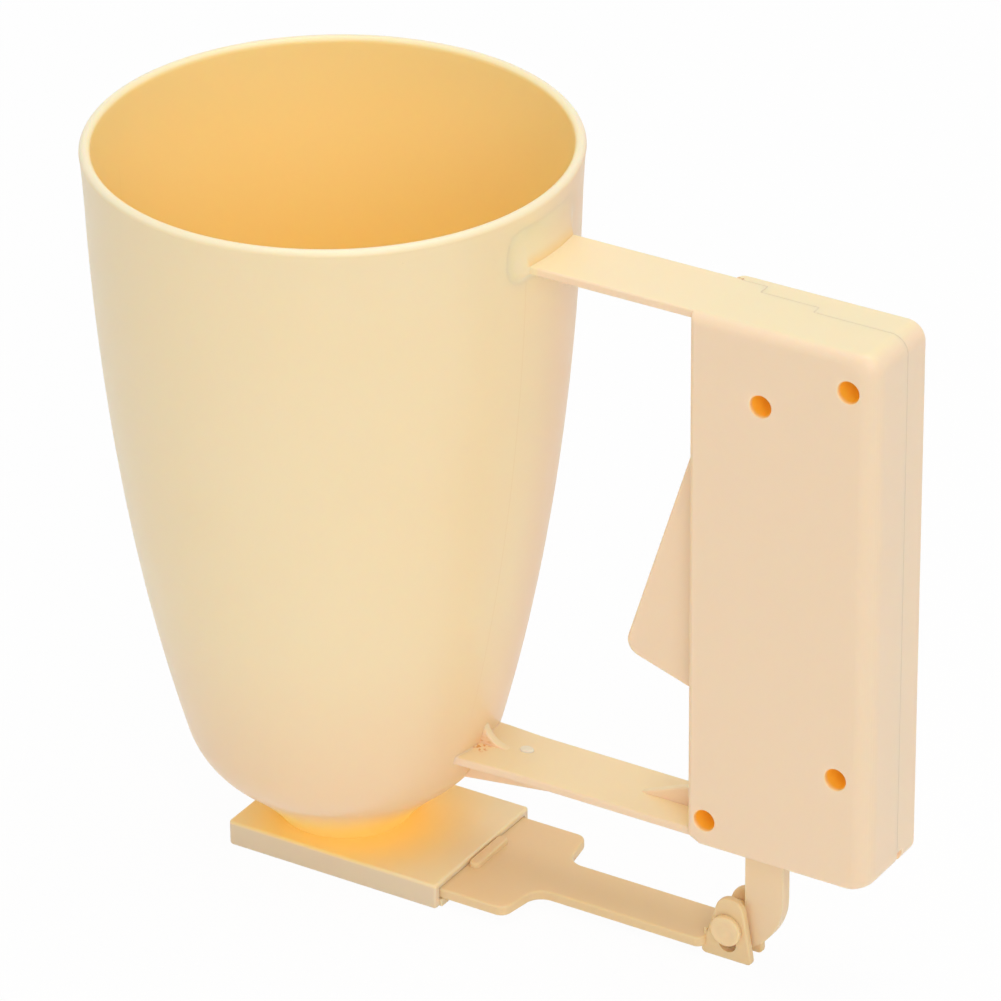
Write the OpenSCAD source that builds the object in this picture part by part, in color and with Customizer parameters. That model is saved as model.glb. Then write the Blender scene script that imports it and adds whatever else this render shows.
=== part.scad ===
// Hand-held batter dispenser: an open cup over a sliding gate, with a boxed
// grip on two straps and a sprung trigger that pulls the gate open.
// Millimetres. X runs from the cup's axis to the grip, Z up.
// The origin is the centre of the outlet hole in the underside.

/* [Cup] */
// Outer radius of the wall below the rim
cup_r = 52.5; // [50.5:0.5:55]
// How far the rim flares out past that wall
rim_flare = 0.6; // [0:0.1:1]
// Height over which it flares
rim_flare_h = 15; // [10:1:20]
// Height of the rim over the underside
cup_top = 167.8; // [160:0.2:180]
// Wall of the cup
cup_wall = 2.1; // [1.6:0.1:2.6]
// Radius of the round bottom of the cup, seen in section
bowl_r = 22.5; // [20:0.1:24]
// Distance of that round's centre from the cup's axis
bowl_mid_r = 12.8; // [12:0.1:14]
// Height of that round's centre over the underside
bowl_mid_z = 35.9; // [34:0.1:37]
// Lean of the wall where the round bottom ends, degrees
wall_lean = 15.5; // [12:0.5:17]
// Slope of the round bottom where it turns into the neck, degrees
neck_slope = 40; // [34:1:46]
// Slope of the neck's foot on the housing, degrees
foot_slope = 57; // [50:1:70]
// Outer radius of that foot
neck_r = 14.9; // [13.5:0.1:15.5]
// Radius of the outlet hole, and of the throat above it
outlet_r = 10; // [8:0.5:11]

/* [Gate housing] */
// Outlet axis to the closed end
housing_front = 18.5; // [17:0.5:21]
// Outlet axis to the open end
housing_back = 35; // [31:0.5:37]
// Half of the housing's width
housing_half = 19.35; // [18.5:0.05:21]
// Height of the housing
housing_h = 6; // [5.6:0.1:7]
// Side and end walls of the housing
housing_wall = 1.6; // [1.2:0.1:2]
// Thickness of the plate that closes the underside
plate_t = 1.8; // [1.4:0.1:2.2]
// How far that plate reaches past the housing's side walls
plate_lip = 0.6; // [0:0.1:1]
// Length of each catch on the plate's edges
catch_len = 8; // [5:0.5:10]
// How far each catch stands out of the plate's edge
catch_out = 0.7; // [0.4:0.1:0.9]

/* [Gate] */
// Thickness of the gate and its arm
gate_t = 2.4; // [2:0.1:2.6]
// How far the closed gate reaches past the outlet's edge
gate_lap = 3.5; // [2.5:0.1:3.7]
// How far the open gate stands back from the outlet's edge
gate_spare = 0.5; // [0.2:0.1:1]
// Length of gate plate that shows when closed
gate_out = 16.5; // [12:0.5:18]
// Corner radius of the gate plate
gate_corner = 2.6; // [1:0.1:4]
// Width of the arm
arm_w = 13; // [11:0.5:15]
// Radius of the inside curve between plate and arm
arm_blend = 4; // [2:0.1:5]
// Thickness of the stop rib, along the travel
stop_t = 2.6; // [1.5:0.1:3]
// Length of the stop rib, across the gate
stop_len = 13.4; // [10:0.2:18]
// Height of the stop rib over the gate
stop_h = 1.3; // [0.6:0.1:1.5]
// Thickness of each ear
ear_t = 1.7; // [1.4:0.1:2]
// Clear space between the ears
ear_gap = 3.9; // [3.6:0.1:4.2]
// Radius of an ear's round top
ear_top_r = 3.5; // [3:0.1:3.8]
// Radius of an ear's lower corners
ear_foot_r = 1; // [0.6:0.1:1.4]
// Pin to the end of an ear's foot, towards the cup
ear_toe = 6.4; // [5.8:0.1:8]
// Height of an ear
ear_h = 15.2; // [14.8:0.1:16.5]
// Pin to the end of the near and of the far ear's foot, away from the cup
ear_heels = [5.8, 5.3];
// Pin to the middle of the near and of the far ear's top, away from the cup
ear_tops = [0.4, 1.2];
// Height of the wall that ties the ears' toes
tie_h = 6; // [5:0.5:7]
// Middle plane to the outer face of the far ear
far_ear_y = 2.8; // [2.5:0.1:3.1]

/* [Straps] */
// Width of the upper strap
upper_strap_w = 17.6; // [14:0.2:18]
// How far the upper strap's root stands out of the wall, and how high it climbs
strap_root = [1.9, 6.5];
// Width of the lower strap
lower_strap_w = 17; // [14:0.2:18]
// Extra half width of the lower strap where it meets the cup
strap_flare = 0.8; // [0:0.1:3]
// Length of that flare
strap_flare_len = 12; // [4:0.5:14]
// Thickness of both straps
strap_t = 2; // [1.6:0.1:2.4]
// Top of the lower strap over the underside of the grip
lower_strap_rise = 2.2; // [1.6:0.1:2.6]
// Thickness of the webs that stiffen the straps
web_t = 2; // [1.5:0.1:2.5]
// Depth of the web under the lower strap at the cup
under_web_h = 8.4; // [6:0.1:9]
// Length of the web over the lower strap at the grip
grip_web_len = 16.5; // [8:0.1:18]
// Height of that web
grip_web_h = 6.6; // [4:0.1:8]
// Radius of the hollow web over the lower strap at the cup
cup_web_r = 6.2; // [4:0.1:8]
// Middle of the cup's wall to the tip of that web
cup_web_tip = 2.5; // [2.2:0.1:3]

/* [Grip] */
// Cup's axis to the front of the grip
grip_x = 92; // [90:0.5:95]
// Depth of the grip, front to back
grip_d = 43.5; // [42:0.5:46]
// Middle plane to the grip's near face, the one with the screw wells
grip_near = 10.4; // [10.1:0.1:11.5]
// Middle plane to the grip's far face
grip_far = 10.9; // [10.1:0.1:11.5]
// Underside of the grip over the base
grip_z = 30.5; // [29:0.5:33]
// Rim of the cup down to the top of the grip
grip_drop = 12.3; // [10:0.1:14]
// Wall of the grip's shells
grip_wall = 2; // [1.6:0.1:2.2]
// Where the two shells meet, from the middle plane
seam_y = 2.8; // [2.4:0.1:3.2]
// Gap in the seam between the shells
seam_gap = 0.1; // [0.05:0.05:0.2]
// Radius of the upright edges at the back of the grip
back_edge_r = 4.2; // [2:0.1:6]
// Radius of the upright edges at the front of the grip
front_edge_r = 1.6; // [0.5:0.1:2.5]
// Radius of the long edge over the near face
long_edge_r = 2.6; // [0.5:0.1:3]
// Radius of the long edge under the near face
low_edge_r = 1; // [0.5:0.1:2]
// Radius of the edges round the far face
far_edge_r = 1; // [0.5:0.1:2]
// Radius of the upright edge between the far face and the front
cover_edge_r = 3; // [1:0.5:4]
// Corner radius at the top of the back
top_corner_r = 4; // [1:0.5:6]
// Corner radius at the bottom of the back
low_corner_r = 3; // [1:0.5:5]
// Length and height of the slant at the bottom of the front
front_slant = [2.6, 1.4];
// Ends of the two steps in the top seam, from the grip's front
seam_steps = [8, 21.6];
// Far edges of the two steps in the top seam, from the middle plane
step_edges = [8.1, 5.2];
// Width, height and depth of the notch at the foot of the back seam
notch = [2.1, 3.6, 1.2];

/* [Screws and bosses] */
// Trigger's axle, from the front and the top of the grip
pivot_in = [16.9, 17];
// Upper back screw, from the back and the top of the grip
top_screw_in = [6.4, 8.4];
// Lower back screw, from the back and the bottom of the grip
back_screw_in = [7.9, 25.8];
// Lower front screw, from the front and the bottom of the grip
front_screw_in = [4.4, 6.3];
// Radius of the wells in the near face
well_r = 2.45; // [2.35:0.05:2.7]
// Wall of the bosses round the wells
well_wall = 1.3; // [1:0.1:1.5]
// Floor of the wells
well_floor = 2.5; // [2:0.1:3]
// Radius of the screws' shanks
screw_r = 1.18; // [1:0.02:1.3]
// Radius of the screws' heads
screw_head_r = 2.25; // [2.1:0.05:2.4]
// Height of the screws' heads
screw_head_h = 1.8; // [1.4:0.1:2.2]
// Wall of the far shell's bosses
pilot_wall = 1.1; // [0.9:0.1:1.2]
// Radius of the axle that the trigger turns on
axle_r = 4.2; // [3.9:0.1:4.5]

/* [Trigger] */
// Outer radius of the trigger's hub
hub_r = 7.5; // [6.8:0.1:8]
// Width of the blade that the fingers pull
blade_w = 10; // [8:0.5:11]
// Lean of the blade's front edge, degrees
blade_lean = 17.7; // [16:0.1:19]
// How far the blade's nose stands out of the grip
blade_out = 18.5; // [16:0.5:20]
// Height of the nose over the grip's underside
nose_rise = 39; // [35:0.5:41]
// Radius of the nose
nose_r = 3.5; // [2:0.5:5]
// Length of the blade's front edge
blade_len = 61; // [57:0.5:63]
// Front edge to back edge of the blade
blade_d = 27.5; // [26:0.5:29]
// Pin to the front edge of the leg
leg_in = 2.8; // [2.6:0.1:3]
// Width of the leg under the grip, seen from the side
leg_w = 9.2; // [8.6:0.1:9.4]
// How much narrower the leg is inside the grip
leg_less = 4.1; // [4:0.1:4.4]
// Heights over the grip's underside between which it narrows
leg_neck = [3.5, 11.5];
// Thickness of the leg, which runs between the ears
leg_t = 2.8; // [2.4:0.1:2.9]
// Radius of the round heel of the leg
heel_r = 15.5; // [14.5:0.5:16]
// Height of the heel's lowest point over the underside
toe_z = 0.9; // [0.8:0.1:1.2]
// Radius of the eye at the leg's toe
eye_r = 4.6; // [4.2:0.1:4.8]

/* [Link pin] */
// Grip's front to the pin
pin_in = 7; // [6.6:0.1:7.4]
// Height of the pin over the underside
pin_z = 7.7; // [7.5:0.1:8]
// Radius of the pin
pin_r = 2; // [1.8:0.1:2.2]
// Radius of the pin's head
pin_head_r = 3.6; // [3:0.1:3.8]
// Thickness of the pin's head
pin_head_t = 1.4; // [1:0.1:1.6]
// How far the ears' slot reaches below the pin's middle
slot_low = 5.8; // [5:0.1:6.2]
// How far the ears' slot reaches above the pin's middle
slot_high = 2.8; // [2.7:0.1:3.4]

/* [Spring] */
// Height of the spring over the grip's underside
spring_rise = 69; // [60:1:74]
// Mean radius of the spring's coils
coil_r = 3.3; // [3:0.1:3.8]
// Radius of the spring's wire
wire_r = 0.4; // [0.3:0.05:0.5]
// Number of coils
coils = 8; // [6:1:9]
// Radius of the pegs that hold the spring's ends
peg_r = 2.2; // [1.8:0.1:2.4]
// Length of those pegs
peg_len = 3; // [2:0.5:4]
// Length of the boss behind the spring, sunk in the blade's back
collar_len = 6; // [4:0.5:8]

/* [Clearances] */
// Gate to the housing, above and below
gate_gap = 0.2; // [0.15:0.05:0.3]
// Gate to the housing's side walls
gate_side_gap = 0.3; // [0.2:0.05:0.4]
// Stop rib to the housing's end, and other parts that nearly touch
near_gap = 0.3; // [0.1:0.05:0.35]
// Underside plate to the walls round it, and catches in their pockets
plate_gap = 0.1; // [0.05:0.05:0.15]
// Hub on its axle
axle_gap = 0.08; // [0.04:0.02:0.1]
// Pin in the ears' slots
slot_gap = 0.1; // [0.08:0.02:0.2]
// Pin in the leg's eye, and screws in their pilot holes
press_gap = 0.02; // [0.01:0.01:0.04]

/* [Hidden] */
cream = [0.97, 0.85, 0.62];
steel = [0.72, 0.73, 0.75];
eps = 0.01;
far = 400;                 // long enough to cut past any piece
cup_turn = 96;             // facets round the cup
arc_n = 8;                 // facets in a rounded corner

// Grip box
grip_back = grip_x + grip_d;
grip_top = cup_top - grip_drop;
inner_front = grip_x + grip_wall;
inner_back = grip_back - grip_wall;
inner_floor = grip_z + grip_wall;
inner_top = grip_top - grip_wall;

// Screws, as [x, z] on the near face
pivot = [grip_x + pivot_in[0], grip_top - pivot_in[1]];
top_screw = [grip_back - top_screw_in[0], grip_top - top_screw_in[1]];
back_screw = [grip_back - back_screw_in[0], grip_z + back_screw_in[1]];
front_screw = [grip_x + front_screw_in[0], grip_z + front_screw_in[1]];
corner_screws = [top_screw, back_screw, front_screw];
screws = concat([pivot], corner_screws);
well_boss_r = well_r + well_wall;
pilot_r = screw_r + press_gap;
pilot_boss_r = pilot_r + pilot_wall;
head_y = seam_y - seam_gap - well_floor;      // seat of the screw heads
near_root = grip_wall / 2 - grip_near;        // inside the near wall, where its bosses begin
far_root = grip_far - grip_wall / 2;          // inside the far wall, where its bosses end

// Gate in its housing
gate_z = plate_t + gate_gap;
gate_top = gate_z + gate_t;
slot_top = gate_top + gate_gap;
slot_half = housing_half - housing_wall;
gate_half = slot_half - gate_side_gap;
gate_inner = -outlet_r - gate_lap;
gate_end = housing_back + gate_out;
stop_x = housing_back + near_gap;
catch_places = [-4, housing_back - 12];

// Pin, leg and ears
pin_x = grip_x + pin_in;
near_ear_y = far_ear_y - 2 * ear_t - ear_gap; // outer face of the ear under the pin's head
leg_far = far_ear_y - ear_t - near_gap;
leg_y = leg_far - leg_t;
leg_x = pin_x + leg_in;
leg_back = leg_x + leg_w;
ear_toe_x = pin_x - ear_toe;
arm_end = ear_toe_x + 1.2;

// Swing of the trigger and travel of the gate that follows it
lever_len = norm([pivot[0] - pin_x, pivot[1] - pin_z]);
rest_angle = asin((pin_x - pivot[0]) / lever_len);
travel = 2 * outlet_r + gate_lap + gate_spare;
swing = asin(sin(rest_angle) + travel / lever_len) - rest_angle;

// Blade, in a frame that leans with its front edge
blade_x = grip_x - blade_out;
blade_z = grip_z + nose_rise;
blade_up = [sin(blade_lean), cos(blade_lean)];
blade_in = [cos(blade_lean), -sin(blade_lean)];
blade_head = [blade_x, blade_z] + blade_len * blade_up;
blade_heel = [blade_x, blade_z] + blade_d * blade_in;

// Back edge of the trigger, from the hub down to the leg
edge_top = pivot + [hub_r, 0];
edge_low = [leg_back - leg_less, blade_heel[1]];

// How far back the trigger reaches at height z: the blade's back or that edge
function edge_x(z) = max(
    blade_heel[0] + (z - blade_heel[1]) * tan(blade_lean),
    edge_low[0] + (z - edge_low[1]) / (edge_top[1] - edge_low[1]) * (edge_top[0] - edge_low[0]));

// Spring between the trigger's back edge and the grip's back wall
spring_z = grip_z + spring_rise;
spring_front = edge_x(spring_z + coil_r + wire_r) + 2 * near_gap;
spring_back = inner_back - near_gap;

// Straps
upper_z = grip_top - strap_t;
lower_z = grip_z + lower_strap_rise - strap_t;
lower_top = lower_z + strap_t;

// ---------- helpers ----------

// Points of an arc about c, from angle a0 to a1
function arc(c, r, a0, a1, n = arc_n) =
    [for (i = [0:n]) let(a = a0 + (a1 - a0) * i / n) c + r * [cos(a), sin(a)]];

// Points of a rectangle with its own radius at each corner, counterclockwise
// from the lower left one
function round_rect(lo, hi, r) = concat(
    arc([lo[0] + r[0], lo[1] + r[0]], r[0], 180, 270),
    arc([hi[0] - r[1], lo[1] + r[1]], r[1], 270, 360),
    arc([hi[0] - r[2], hi[1] - r[2]], r[2], 0, 90),
    arc([lo[0] + r[3], hi[1] - r[3]], r[3], 90, 180));

function reversed(v) = [for (i = [len(v) - 1:-1:0]) v[i]];

// A point and the direction of a cubic curve at t
function cubic(p, t) = pow(1 - t, 3) * p[0] + 3 * pow(1 - t, 2) * t * p[1]
    + 3 * (1 - t) * t * t * p[2] + t * t * t * p[3];
function cubic_way(p, t) = pow(1 - t, 2) * (p[1] - p[0])
    + 2 * (1 - t) * t * (p[2] - p[1]) + t * t * (p[3] - p[2]);

// Extrudes an [x, z] outline from y0 to y1
module from_side(y0, y1) {
    translate([0, y1, 0]) rotate([90, 0, 0]) linear_extrude(y1 - y0) children();
}

// Extrudes a [y, z] outline from x0 to x1
module from_end(x0, x1) {
    translate([x0, 0, 0]) rotate([90, 0, 90]) linear_extrude(x1 - x0) children();
}

module box(lo, hi) {
    translate(lo) cube(hi - lo);
}

// A rod along Y at p = [x, z], from y0 to y1
module rod(p, r, y0, y1) {
    translate([p[0], y1, p[1]]) rotate([90, 0, 0]) cylinder(h = y1 - y0, r = r, $fn = 48);
}

// ---------- cup ----------

// The cup's wall in section, moved inwards by d: the neck from its foot on the
// housing, the round bottom, then one long curve that ends upright at the rim
bowl_mid = [bowl_mid_r, bowl_mid_z];
neck_bend = 5;
foot_way = [cos(foot_slope), sin(foot_slope)];
neck_way = [cos(neck_slope), sin(neck_slope)];
function neck_curve(d) =
    let(foot = [neck_r + (outlet_r - neck_r) * d / cup_wall, housing_h],
        head = bowl_mid + (bowl_r - d) * [neck_way[1], -neck_way[0]])
    [foot, foot + neck_bend * foot_way, head - neck_bend * neck_way, head];
knee = bowl_mid + bowl_r * [cos(wall_lean), -sin(wall_lean)];
wall_way = [sin(wall_lean), cos(wall_lean)];
wall_span = cup_top - knee[1];
wall_curve = [knee, knee + 0.4 * wall_span * wall_way,
              [cup_r, cup_top - 0.2 * wall_span], [cup_r, cup_top]];
function wall_points(d) = concat(
    [for (i = [0:7]) cubic(neck_curve(d), i / 8)],
    arc(bowl_mid, bowl_r - d, neck_slope - 90, -wall_lean, 8),
    [for (i = [1:18])
        let(t = i / 18, way = cubic_way(wall_curve, t) / norm(cubic_way(wall_curve, t)),
            p = cubic(wall_curve, t) + d * [-way[1], way[0]])
        p + [flare_at(p[1], d), 0]]);

// How far the flare moves the wall out at height z, less on the inside
inner_flare = 0.4;
function flare_at(z, d) = rim_flare * (1 - (1 - inner_flare) * d / cup_wall)
    * pow(max(0, 1 - (cup_top - z) / rim_flare_h), 2);

module cup_shell() {
    lip = (cup_wall + rim_flare * (1 - inner_flare)) / 2;
    rotate_extrude($fn = cup_turn) polygon(concat(
        [[outlet_r, slot_top], [neck_r, slot_top]],
        [for (p = wall_points(0)) if (p[1] < cup_top - lip) p],
        arc([cup_r + rim_flare - lip, cup_top - lip], lip, 0, 180),
        reversed([for (p = wall_points(cup_wall)) if (p[1] < cup_top - lip) p])));
}

// Radius of the middle of the cup's wall at height z
function wall_r_at(z) = lookup(z, [for (p = wall_points(cup_wall / 2)) [p[1], p[0]]]);

module gate_housing() {
    difference() {
        linear_extrude(housing_h) polygon(round_rect(
            [-housing_front, -housing_half], [housing_back, housing_half],
            [1, 0.6, 0.6, 1]));
        box([housing_wall - housing_front, -slot_half, -1],
            [housing_back + 1, slot_half, slot_top]);
        translate([0, 0, -1]) cylinder(h = housing_h + 2, r = outlet_r, $fn = 96);
        plate_catches(plate_gap);
    }
}

// Catches on the long edges of the underside plate, grown by g for their pockets
module plate_catches(g) {
    for (side = [-1, 1], x = catch_places)
        translate([x, side * slot_half, plate_t / 2])
            cube([catch_len + 2 * g, 2 * (catch_out + g), plate_t / 2 + 2 * g], center = true);
}

// ---------- straps and webs ----------

// Room for both straps where they pass the grip's front wall, grown by g
module strap_room(g) {
    box([grip_x - 1, -far, upper_z - g], [inner_front + g, upper_strap_w / 2 + g, far]);
    box([grip_x - 1, -far, lower_z - g], [inner_front + g, lower_strap_w / 2 + g, lower_top + g]);
}

module upper_strap() {
    half = upper_strap_w / 2;
    wall = wall_r_at(upper_z);
    outside = wall_r_at(grip_top) + cup_wall / 2;
    difference() {
        box([0, -half, upper_z], [inner_front, half, grip_top]);
        translate([0, 0, upper_z - 1]) cylinder(h = strap_t + 2, r = wall, $fn = cup_turn);
    }
    intersection() {
        rotate_extrude($fn = cup_turn) polygon([
            [wall, upper_z + eps], [outside + strap_root[0], upper_z + eps],
            [outside + strap_root[0], grip_top], [outside - eps, grip_top + strap_root[1]],
            [wall, grip_top + strap_root[1]]]);
        box([0, -half, upper_z], [far, half, far]);
    }
}

module lower_strap() {
    half = lower_strap_w / 2;
    root = wall_r_at(lower_z);
    difference() {
        union() {
            translate([0, 0, lower_z]) linear_extrude(strap_t) polygon([
                [0, -half - strap_flare], [root, -half - strap_flare],
                [root + strap_flare_len, -half], [inner_front, -half],
                [inner_front, half], [root + strap_flare_len, half],
                [root, half + strap_flare], [0, half + strap_flare]]);
            from_side(-web_t / 2, web_t / 2) polygon([
                [root - 8, lower_z - under_web_h], [grip_x, lower_z],
                [grip_x, lower_z + eps], [root - 8, lower_z + eps]]);
            from_side(-web_t / 2, web_t / 2) polygon([
                [inner_front, lower_top - eps], [inner_front, lower_top + grip_web_h],
                [grip_x, lower_top + grip_web_h], [grip_x - grip_web_len, lower_top - eps]]);
            from_side(-web_t / 2, web_t / 2) polygon(concat(
                [[root, lower_top - eps]],
                arc([root + cup_web_tip + cup_web_r, lower_top + cup_web_r], cup_web_r, 270, 180)));
        }
        cup_hollow();
    }
}

// The space inside the cup, out to the middle of its wall
module cup_hollow() {
    rotate_extrude($fn = cup_turn) polygon(concat(
        [[0, housing_h]], wall_points(cup_wall / 2), [[0, cup_top]]));
}

// ---------- grip ----------

// The grip's outer form, moved inwards by d
module grip_form(d) {
    function less(r) = max(0.4, r - d);
    intersection() {
        from_side(-far, far) polygon(concat(
            [[grip_x + d, grip_z + front_slant[1] + d / 2], [grip_x + front_slant[0] + d / 2, grip_z + d]],
            arc([grip_back - low_corner_r, grip_z + low_corner_r], less(low_corner_r), 270, 360),
            arc([grip_back - top_corner_r, grip_top - top_corner_r], less(top_corner_r), 0, 90),
            [[grip_x + d, grip_top - d]]));
        linear_extrude(far) polygon(round_rect(
            [grip_x + d, d - grip_near], [grip_back - d, grip_far - d],
            [less(front_edge_r), less(back_edge_r), less(far_edge_r), less(cover_edge_r)]));
        from_end(0, far) polygon(round_rect(
            [d - grip_near, grip_z + d], [grip_far - d, grip_top - d],
            [less(low_edge_r), less(far_edge_r), less(far_edge_r), less(long_edge_r)]));
    }
}

// The near side of the seam, with the top wall's two steps; g moves the seam
module near_side(g) {
    box([0, -far, 0], [far, seam_y + g, far]);
    box([0, 0, inner_top - g], [grip_x + seam_steps[0] + g, step_edges[0] + g, far]);
    box([0, 0, inner_top - g], [grip_x + seam_steps[1] + g, step_edges[1] + g, far]);
}

// Slot in the grip's front wall for the blade, over its whole travel
module blade_slot() {
    box([grip_x - 1, -blade_w / 2 - 0.4, blade_heel[1] - 2],
        [inner_front + 0.5, blade_w / 2 + 0.4, blade_head[1] + 3]);
}

// Slot in the near shell's floor for the leg, over its whole travel
module leg_slot() {
    reach = (pivot[1] - grip_z) * sin(swing) + 1.2;
    box([leg_x - 0.6, leg_y - 0.5, grip_z - 1], [leg_back + reach, far, inner_floor + 0.5]);
}

module seam_notch() {
    box([grip_back - notch[2], seam_y - 1, grip_z - 1],
        [grip_back + 1, seam_y + notch[0], grip_z + notch[1]]);
}

module near_shell() {
    boss_end = seam_y - seam_gap;
    difference() {
        union() {
            difference() {
                intersection() {
                    grip_form(0);
                    near_side(-seam_gap / 2);
                }
                grip_form(grip_wall);
            }
            for (p = corner_screws) rod(p, well_boss_r, near_root, boss_end);
            rod(pivot, axle_r, near_root, boss_end);
            rod(pivot, axle_r + 2, near_root, -blade_w / 2 - near_gap);
            translate([spring_back - peg_len, 0, spring_z]) rotate([0, 90, 0])
                cylinder(h = peg_len + 1, r = peg_r, $fn = 32);
        }
        for (p = screws) {
            rod(p, well_r, -far, head_y);
            rod(p, screw_r + 0.3, head_y - eps, far);
        }
        blade_slot();
        leg_slot();
    }
}

module cup_frame() {
    color(cream) {
        cup_shell();
        gate_housing();
        upper_strap();
        lower_strap();
        near_shell();
    }
}

module grip_cover() {
    boss_start = seam_y + seam_gap / 2;
    color(cream) difference() {
        union() {
            difference() {
                grip_form(0);
                near_side(seam_gap / 2);
                grip_form(grip_wall);
            }
            for (p = corner_screws) rod(p, pilot_boss_r, boss_start, far_root);
            rod(pivot, axle_r, boss_start, far_root);
            rod(pivot, axle_r + 2, blade_w / 2 + near_gap, far_root);
        }
        for (p = screws) rod(p, pilot_r, 0, far_root);
        strap_room(seam_gap);
        blade_slot();
        seam_notch();
    }
}

// ---------- trigger ----------

module trigger_profile() {
    translate([blade_x, blade_z]) rotate(-blade_lean)
        polygon(round_rect([0, 0], [blade_d, blade_len], [nose_r, 1, 1, 3]));
    polygon([blade_head + 3 * blade_in, pivot - [hub_r, 0], edge_top, edge_low, blade_heel]);
}

// The leg from its root in the blade's web down to its heel, eye apart
module leg_profile() {
    root_z = blade_heel[1] + 4;
    foot_x = pin_x - eye_r;
    heel = [leg_back - heel_r, toe_z + heel_r];
    polygon(concat(
        [[leg_x, root_z], [leg_x, pin_z], [foot_x, pin_z]],
        arc(heel, heel_r, -90 - asin((heel[0] - foot_x) / heel_r), 0),
        [[leg_back, grip_z + leg_neck[0]], [edge_low[0], grip_z + leg_neck[1]],
         [edge_low[0], root_z]]));
}

module trigger_lever() {
    color(cream) difference() {
        union() {
            from_side(-blade_w / 2, blade_w / 2) trigger_profile();
            rod(pivot, hub_r, -blade_w / 2, blade_w / 2);
            from_side(leg_y, leg_far) leg_profile();
            rod([pin_x, pin_z], eye_r, leg_y, leg_far);
            translate([spring_front - collar_len, 0, spring_z]) rotate([0, 90, 0]) {
                cylinder(h = collar_len - near_gap, r = coil_r + wire_r, $fn = 32);
                cylinder(h = collar_len + peg_len, r = peg_r, $fn = 32);
            }
        }
        rod(pivot, axle_r + axle_gap, -far, far);
        rod([pin_x, pin_z], pin_r + press_gap, -far, far);
    }
}

module link_pin() {
    head_back = near_ear_y - slot_gap;
    color(cream) {
        rod([pin_x, pin_z], pin_r, head_back - eps, far_ear_y + near_gap);
        rod([pin_x, pin_z], pin_head_r, head_back - pin_head_t, head_back);
    }
}

// ---------- gate ----------

// Half outline of the gate from its inner end to the arm's end, for y > 0
function gate_half_outline() = concat(
    [[gate_inner, 0], [gate_inner, gate_half]],
    arc([gate_end - gate_corner, gate_half - gate_corner], gate_corner, 90, 10),
    arc([gate_end + arm_blend + 0.8, arm_w / 2 + arm_blend], arm_blend, 190, 270),
    arc([arm_end - 2, arm_w / 2 - 2], 2, 90, 0),
    [[arm_end, 0]]);

// Outline of an ear whose top is moved by top and whose foot ends at heel
module ear_outline(top, heel) {
    hull() {
        translate([pin_x + top, ear_h - ear_top_r]) circle(r = ear_top_r, $fn = 32);
        translate([ear_toe_x + ear_foot_r, ear_foot_r]) circle(r = ear_foot_r, $fn = 32);
        translate([pin_x + heel - ear_foot_r, ear_foot_r]) circle(r = ear_foot_r, $fn = 32);
    }
}

module gate_slide() {
    slot_r = pin_r + slot_gap;
    half = gate_half_outline();
    color(cream) difference() {
        union() {
            translate([0, 0, gate_z]) linear_extrude(gate_t)
                polygon(concat(half, reversed([for (p = half) [p[0], -p[1]]])));
            // stop rib with round ends
            translate([stop_x, -stop_len / 2 + stop_t / 2, gate_top - eps])
                cube([stop_t, stop_len - stop_t, stop_h]);
            for (side = [-1, 1])
                translate([stop_x + stop_t / 2, side * (stop_len - stop_t) / 2, gate_top - eps])
                    cylinder(h = stop_h, r = stop_t / 2, $fn = 32);
            // ears and the wall that ties their toes
            from_side(far_ear_y - ear_t, far_ear_y) ear_outline(ear_tops[1], ear_heels[1]);
            from_side(near_ear_y, near_ear_y + ear_t) ear_outline(ear_tops[0], ear_heels[0]);
            box([ear_toe_x + 0.5, near_ear_y, ear_foot_r], [arm_end, far_ear_y, tie_h]);
        }
        from_side(-far, far) {
            translate([pin_x, pin_z - slot_low + slot_r]) circle(r = slot_r, $fn = 48);
            translate([pin_x, pin_z + slot_high - slot_r]) circle(r = slot_r, $fn = 48);
            translate([pin_x - slot_r, pin_z - slot_low + slot_r])
                square([2 * slot_r, slot_low + slot_high - 2 * slot_r]);
        }
    }
}

module outlet_plate() {
    edge = slot_half - plate_gap;
    color(cream) difference() {
        union() {
            box([housing_wall - housing_front + plate_gap, -edge, 0], [housing_back + plate_lip, edge, plate_t]);
            plate_catches(0);
        }
        translate([0, 0, -1]) cylinder(h = plate_t + 2, r = outlet_r, $fn = 96);
    }
}

// ---------- spring and screws ----------

// One closed coil at each end and open coils between, as a swept octagon
module return_spring() {
    steps = 20;
    sides = 8;
    last = coils * steps;
    run = spring_back - spring_front - 2 * wire_r;
    function along(i) = let(c = i / steps)
        c < 1 ? c * 2.1 * wire_r
        : c > coils - 1 ? run - (coils - c) * 2.1 * wire_r
        : 2.1 * wire_r + (c - 1) / (coils - 2) * (run - 4.2 * wire_r);
    rings = [for (i = [0:last], k = [0:sides - 1])
        let(a = 360 * i / steps, b = 360 * k / sides, r = coil_r + wire_r * cos(b))
        [along(i) + wire_r * sin(b), r * cos(a), r * sin(a)]];
    skin = [for (i = [0:last - 1], k = [0:sides - 1])
        let(n = (k + 1) % sides, q = i * sides)
        [q + k, q + n, q + sides + n, q + sides + k]];
    caps = [[for (k = [sides - 1:-1:0]) k], [for (k = [0:sides - 1]) last * sides + k]];
    color(steel) translate([spring_front + wire_r, 0, spring_z])
        polyhedron(points = rings, faces = concat(skin, caps), convexity = 6);
}

module grip_screws() {
    color(steel) for (p = screws) difference() {
        union() {
            rod(p, screw_head_r, head_y - screw_head_h, head_y);
            rod(p, screw_r, head_y - eps, far_root - near_gap);
        }
        for (turn = [0, 90]) translate([p[0], head_y - screw_head_h, p[1]]) rotate([0, turn, 0])
            cube([2.8, 1.6, 0.6], center = true);
    }
}

cup_frame();
grip_cover();
trigger_lever();
link_pin();
gate_slide();
outlet_plate();
return_spring();
grip_screws();
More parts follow.
